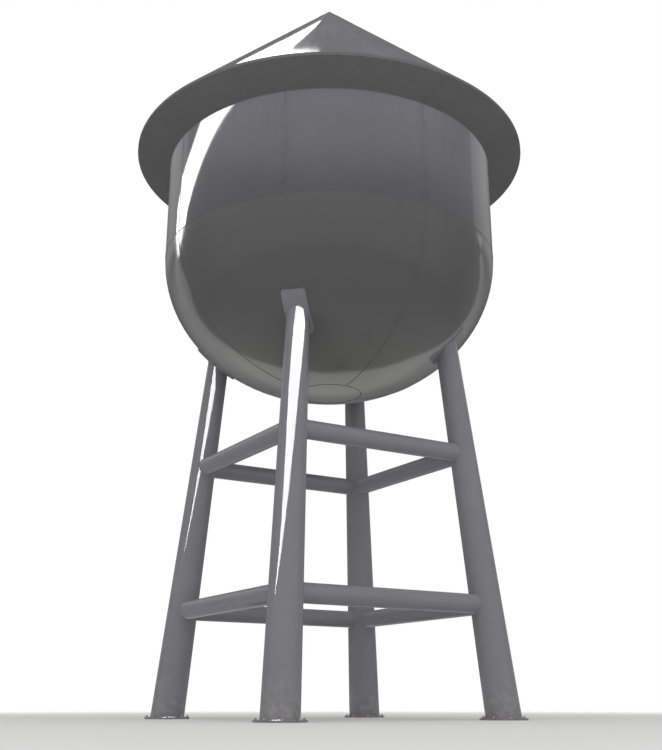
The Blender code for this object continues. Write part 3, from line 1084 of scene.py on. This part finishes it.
class Feet(Operator):
    """Make the four foot plates with their anchor bolts, nuts and washers"""

    bl_idname = "water_tower.feet"
    bl_label = "Feet"

    def execute(self, context):
        tower = context.scene.water_tower.frame
        paint = foot_paint(tower)
        steel = zinc()
        for corner in CORNERS:
            direction = leg_direction(corner)
            centre = leg_centre(tower, direction, 0.0)
            radius = tower.plate_diameter / 2
            top = tower.plate_thickness
            edge = 0.004
            profile = [(0.0, 0.0), (radius - edge, 0.0), (radius, edge), (radius, top - edge), (radius - edge, top), (0.0, top)]
            plate = turned(profile, TURN_STEPS, place=Matrix.Translation(centre))
            piece(f"{corner}_foot", plate, paint, ["foot_plate_" + corner])
            bolts = bmesh.new()
            circle = (tower.foot_diameter + tower.plate_diameter) / 4 + 0.008
            for index in range(tower.bolts):
                turn = Matrix.Rotation(tau * (index + 0.5) / tower.bolts, 4, "Z")
                lean = direction.angle_signed(Vector((1, 0)))
                place = Matrix.Translation(centre) @ Matrix.Rotation(lean, 4, "Z") @ turn
                self.add_bolt(bolts, tower, place @ Matrix.Translation((circle, 0.0, top)))
            piece(f"{corner}_anchor_bolts", bolts, steel)
        return {"FINISHED"}

    def add_bolt(self, bm, tower, place):
        """A washer, a six-sided nut with its corners turned off, and the bolt's end."""
        size = tower.bolt_diameter
        washer = [(0.0, 0.0), (size * 0.92, 0.0), (size * 0.92, size * 0.14), (0.0, size * 0.14)]
        turned(washer, 28, bm, place)
        self.add_nut(bm, size, place @ Matrix.Translation((0, 0, size * 0.14)))
        end = [(0.0, 0.0), (size * 0.5, 0.0), (size * 0.5, size * 1.35), (size * 0.42, size * 1.45), (0.0, size * 1.45)]
        turned(end, 20, bm, place)

    def add_nut(self, bm, size, place):
        corner = size * 0.87
        height = size * 0.8
        turned([(0.0, 0.0), (corner * 0.95, 0.0), (corner, height * 0.08)]
               + [(corner, height * 0.9), (corner * 0.93, height), (0.0, height)], 6, bm, place)


class Stage(Operator):
    """Make the plain floor, the soft studio light and the camera"""

    bl_idname = "water_tower.stage"
    bl_label = "Stage"

    def execute(self, context):
        stage = context.scene.water_tower.stage
        self.make_floor(stage)
        self.make_camera(stage)
        self.make_world(stage)
        for name, sheet in SHEETS.items():
            self.make_sheet(stage, name, sheet)
        for item in bpy.data.objects:
            if item.name.startswith(UNMIRRORED):
                item.visible_glossy = False
        context.scene.view_settings.view_transform = "Standard"
        return {"FINISHED"}

    def make_floor(self, stage):
        bm = turned([(radius, 0.0) for radius in (0.0, 2.0, 4.0, 8.0, 16.0, stage.floor_radius)], TURN_STEPS)
        bmesh.ops.recalc_face_normals(bm, faces=bm.faces)
        mesh = bpy.data.meshes.new("floor")
        bm.to_mesh(mesh)
        bm.free()
        if mesh.polygons[0].normal.z < 0:
            mesh.flip_normals()
        floor = bpy.data.objects.new("floor", mesh)
        bpy.context.scene.collection.objects.link(floor)
        material = bpy.data.materials.new("floor")
        material.use_nodes = True
        tree = material.node_tree
        shader = tree.nodes["Principled BSDF"]
        shader.inputs["Roughness"].default_value = 0.7
        place = put(tree, "ShaderNodeTexCoord").outputs["Object"]
        cloudy = put(tree, "ShaderNodeTexNoise", {"Vector": place, "Scale": 0.6}).outputs["Fac"]
        tone = blend(tree, cloudy, shade(stage.floor, 0.98), shade(stage.floor, 1.0))
        tree.links.new(tone, shader.inputs["Base Color"])
        away = put(tree, "ShaderNodeVectorMath", {0: place}, operation="LENGTH").outputs["Value"]
        clear = put(tree, "ShaderNodeBsdfTransparent")
        fade = ramp(tree, away, 9.0, 24.0)
        mixed = put(tree, "ShaderNodeMixShader", {0: fade, 1: shader.outputs[0], 2: clear.outputs[0]})
        tree.links.new(mixed.outputs[0], tree.nodes["Material Output"].inputs["Surface"])
        mesh.materials.append(material)

    def make_camera(self, stage):
        data = bpy.data.cameras.new("camera")
        data.lens = stage.lens
        data.sensor_width = 36.0
        data.clip_end = 500.0
        camera = bpy.data.objects.new("camera", data)
        bpy.context.scene.collection.objects.link(camera)
        stand = Matrix.Translation((stage.aside, -stage.distance, stage.height))
        turn = Matrix.Rotation(stage.turn, 4, "Z")
        camera.matrix_world = turn @ stand @ Matrix.Rotation(pi / 2 + stage.tilt, 4, "X")
        bpy.context.scene.camera = camera

    def make_world(self, stage):
        """Soft panels all round, given by their azimuth from the camera's side and their elevation."""
        world = bpy.data.worlds.new("studio")
        bpy.context.scene.world = world
        world.use_nodes = True
        tree = world.node_tree
        direction = put(tree, "ShaderNodeTexCoord").outputs["Generated"]
        azimuth, up = self.bearings(tree, direction, stage)
        elevation = reckon(tree, "DEGREES", reckon(tree, "ARCSINE", up))
        aside = reckon(tree, "ABSOLUTE", azimuth)
        light = ALL_ROUND
        for across, upright, strength in PANELS.values():
            shape = reckon(tree, "MULTIPLY", self.window(tree, aside, across), self.window(tree, elevation, upright))
            light = reckon(tree, "MULTIPLY_ADD", shape, strength, light)
        shine = put(tree, "ShaderNodeBackground", {"Strength": light})
        plain = put(tree, "ShaderNodeBackground", {"Color": (*stage.backdrop, 1.0), "Strength": 1.0})
        seen = put(tree, "ShaderNodeLightPath").outputs["Is Camera Ray"]
        both = put(tree, "ShaderNodeMixShader", {0: seen, 1: shine.outputs[0], 2: plain.outputs[0]})
        tree.links.new(both.outputs[0], tree.nodes["World Output"].inputs["Surface"])

    def bearings(self, tree, place, stage):
        """The azimuth of a place or direction from the camera's side, in degrees, and its height."""
        inputs = {"Vector": place, "Rotation": (0.0, 0.0, -stage.turn)}
        local = put(tree, "ShaderNodeMapping", inputs).outputs[0]
        parts = put(tree, "ShaderNodeSeparateXYZ", {"Vector": local}).outputs
        to_front = reckon(tree, "MULTIPLY", parts["Y"], -1.0)
        return reckon(tree, "DEGREES", reckon(tree, "ARCTAN2", parts["X"], to_front)), parts["Z"]

    def make_sheet(self, stage, name, sheet):
        """A curved sheet of light, hidden from the camera, that shines on some pieces alone."""
        turn = Matrix.Rotation(stage.turn, 3, "Z")
        bm = bmesh.new()
        rings = []
        for lower, upper in zip(sheet["rows"], sheet["rows"][1:]):
            for share in stops(0.0, 1.0, SHEET_STEPS_UP):
                height, left, right = (one + (other - one) * share for one, other in zip(lower, upper))
                ring = []
                for azimuth in stops(radians(left), radians(right), SHEET_STEPS_ACROSS):
                    out = Vector((sin(azimuth), -cos(azimuth), 0.0)) * sheet["distance"]
                    ring.append(bm.verts.new(turn @ out + Vector((0.0, 0.0, height))))
                rings.append(ring)
        for lower, upper in zip(rings, rings[1:]):
            for index in range(SHEET_STEPS_ACROSS):
                bm.faces.new((lower[index], lower[index + 1], upper[index + 1], upper[index]))
        mesh = bpy.data.meshes.new(name)
        bm.to_mesh(mesh)
        bm.free()
        item = bpy.data.objects.new(name, mesh)
        bpy.context.scene.collection.objects.link(item)
        mesh.materials.append(self.glow(stage, name, sheet["strength"]))
        item.visible_camera = False
        item.visible_diffuse = False
        item.visible_shadow = False
        lit = bpy.data.collections.new("lit by the " + name)
        for other in bpy.data.objects:
            if other.name.startswith(sheet["pieces"]):
                lit.objects.link(other)
        item.light_linking.receiver_collection = lit

    def glow(self, stage, name, strength):
        material = bpy.data.materials.new(name)
        material.use_nodes = True
        tree = material.node_tree
        if name == "bowl_glow":
            azimuth, height = self.bearings(tree, put(tree, "ShaderNodeTexCoord").outputs["Object"], stage)
            aside = reckon(tree, "SUBTRACT", GLOW_AZIMUTH, reckon(tree, "ABSOLUTE", azimuth))
            edge = reckon(tree, "MULTIPLY_ADD", reckon(tree, "MAXIMUM", aside, 0.0), GLOW_CLIMB, GLOW_BOTTOM)
            room = reckon(tree, "SUBTRACT", GLOW_TOP, edge)
            rise = reckon(tree, "DIVIDE", reckon(tree, "SUBTRACT", height, edge), room)
            fade = ramp(tree, rise, 0.0, 0.8, strength, strength * GLOW_TOP_SHARE)
            along = ramp(tree, edge, GLOW_BOTTOM, GLOW_TOP, 1.0, GLOW_SIDE_SHARE)
            strength = reckon(tree, "MULTIPLY", fade, along)
        if name == "wall_glint":
            azimuth, _ = self.bearings(tree, put(tree, "ShaderNodeTexCoord").outputs["Object"], stage)
            strength = ramp(tree, azimuth, -125.0, -60.0, 0.3 * strength, strength)
        light = put(tree, "ShaderNodeEmission", {"Strength": strength})
        clear = put(tree, "ShaderNodeBsdfTransparent")
        both = put(tree, "ShaderNodeAddShader", {0: light.outputs[0], 1: clear.outputs[0]})
        tree.links.new(both.outputs[0], tree.nodes["Material Output"].inputs["Surface"])
        return material

    def window(self, tree, value, limits):
        """1 between two limits and 0 outside them, with a soft edge of its own at each."""
        start, start_soft, end, end_soft = limits
        rise = ramp(tree, value, start - start_soft, start + start_soft)
        fall = ramp(tree, value, end - end_soft, end + end_soft, 1.0, 0.0)
        return reckon(tree, "MULTIPLY", rise, fall)


class TowerPanel(Panel):
    """Lists the tower's settings and the operators that make its pieces"""

    bl_idname = "VIEW3D_PT_water_tower"
    bl_label = "Water Tower"
    bl_space_type = "VIEW_3D"
    bl_region_type = "UI"
    bl_category = "Water Tower"

    def draw(self, context):
        settings = context.scene.water_tower
        for group in (settings.tank, settings.roof, settings.frame, settings.stage):
            box = self.layout.box()
            for name in group.__annotations__:
                box.prop(group, name)
        for operator in OPERATORS:
            self.layout.operator(operator.bl_idname)


SETTINGS = (TankSettings, RoofSettings, FrameSettings, StageSettings, TowerSettings)
OPERATORS = (TankWall, Bowl, Roof, Eave, Legs, Saddles, Struts, Feet, Stage)


def register():
    for entry in (*SETTINGS, *OPERATORS, TowerPanel):
        bpy.utils.register_class(entry)
    bpy.types.Scene.water_tower = PointerProperty(type=TowerSettings)


def unregister():
    del bpy.types.Scene.water_tower
    for entry in reversed((*SETTINGS, *OPERATORS, TowerPanel)):
        bpy.utils.unregister_class(entry)


def main():
    """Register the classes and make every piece."""
    register()
    bpy.ops.water_tower.tank_wall()
    bpy.ops.water_tower.bowl()
    bpy.ops.water_tower.roof()
    bpy.ops.water_tower.eave()
    bpy.ops.water_tower.legs()
    bpy.ops.water_tower.saddles()
    bpy.ops.water_tower.struts()
    bpy.ops.water_tower.feet()
    bpy.ops.water_tower.stage()


if __name__ == "__main__":
    main()
